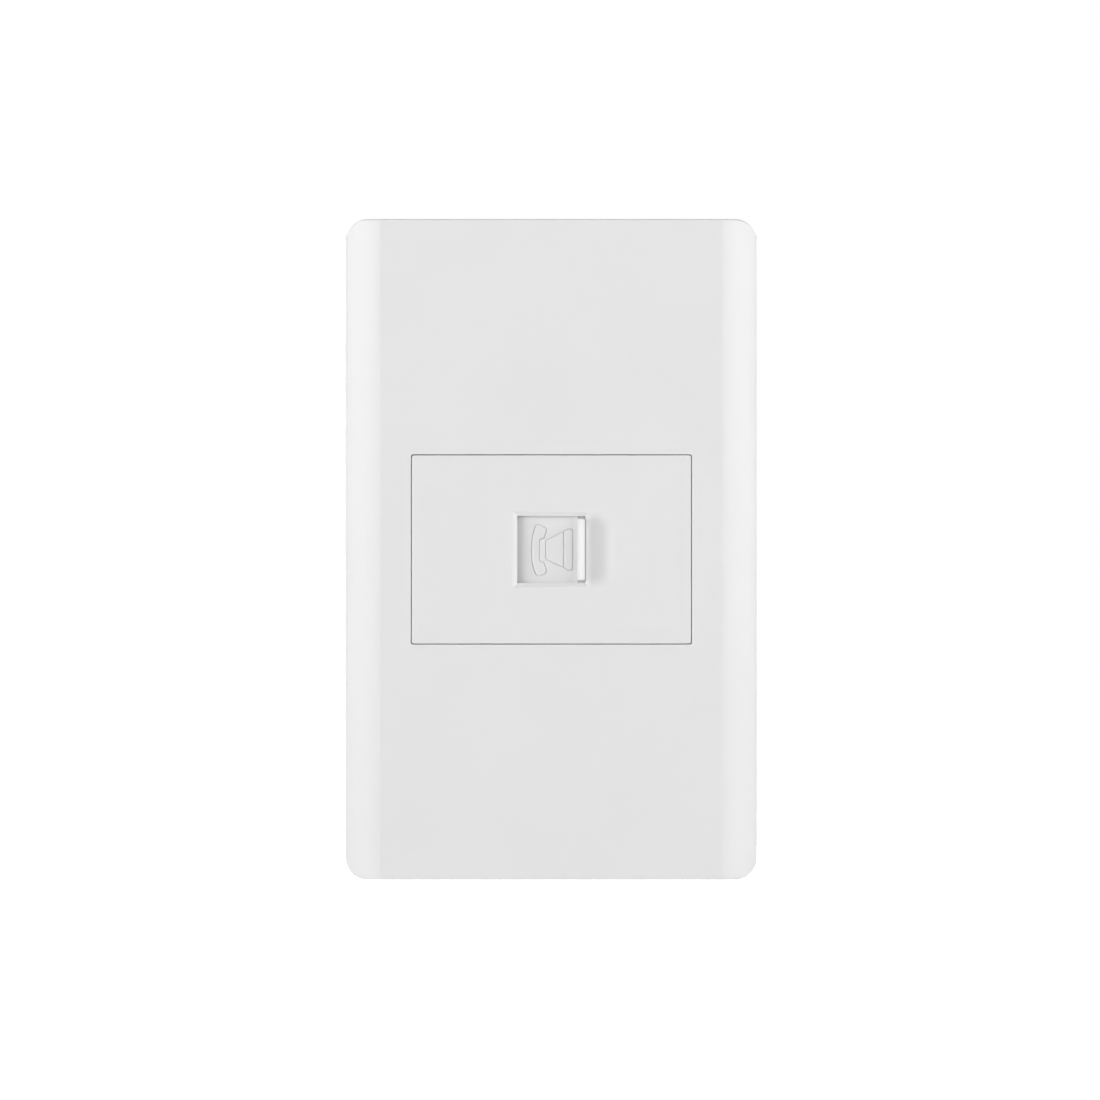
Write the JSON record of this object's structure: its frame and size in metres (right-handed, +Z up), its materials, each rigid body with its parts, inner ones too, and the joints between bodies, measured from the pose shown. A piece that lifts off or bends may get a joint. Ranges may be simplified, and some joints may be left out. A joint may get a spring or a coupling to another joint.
{
  "type": "telephone wall socket",
  "caption": "Upright wall plate with curved long flanks and a flush telephone module, whose small square plug opening is closed by a sliding sprung shutter.",
  "frame": {"origin": "centre of the wall plate's outline, on the wall's surface, midway between the two wall box screws", "axes": "+X to the right seen from the room, +Y from the room into the wall, +Z up the wall"},
  "size_m": [0.075, 0.0292, 0.12],
  "materials": {
    "white_gloss": "polished white moulded plastic",
    "white_matte": "plain white moulded plastic",
    "black_plastic": "fine matte black moulded plastic",
    "terminal_plastic": "satin blue moulded plastic",
    "board_laminate": "green lacquered glass-fibre laminate",
    "contact_gold": "gold-plated spring wire",
    "zinc_steel": "bright zinc-plated steel",
    "spring_steel": "drawn stainless spring wire"
  },
  "bodies": {
    "socket": {"cover_plate": "white_gloss", "mounting_frame": "white_matte", "module_face": "white_gloss", "shutter_spring": "spring_steel", "shutter_guide": "white_matte", "rear_housing": "white_matte", "jack_body": "black_plastic", "contact_wire_1": "contact_gold", "contact_wire_2": "contact_gold", "contact_wire_3": "contact_gold", "contact_wire_4": "contact_gold", "circuit_board": "board_laminate", "board_screw_1": "zinc_steel", "board_screw_2": "zinc_steel", "terminal_block": "terminal_plastic", "terminal_clamp_1": "zinc_steel", "terminal_clamp_2": "zinc_steel", "terminal_clamp_3": "zinc_steel", "terminal_clamp_4": "zinc_steel", "terminal_screw_1": "zinc_steel", "terminal_screw_2": "zinc_steel", "terminal_screw_3": "zinc_steel", "terminal_screw_4": "zinc_steel"},
    "shutter": {"shutter": "white_gloss"}
  },
  "joints": [
    {"name": "shutter_slide", "type": "slide", "parent": "socket", "child": "shutter", "axis": [-1, 0, 0], "range_m": [0, 0.011], "stiffness_N_per_m": 90, "springref_m": -0.003, "deforming": ["shutter_spring"]}
  ]
}
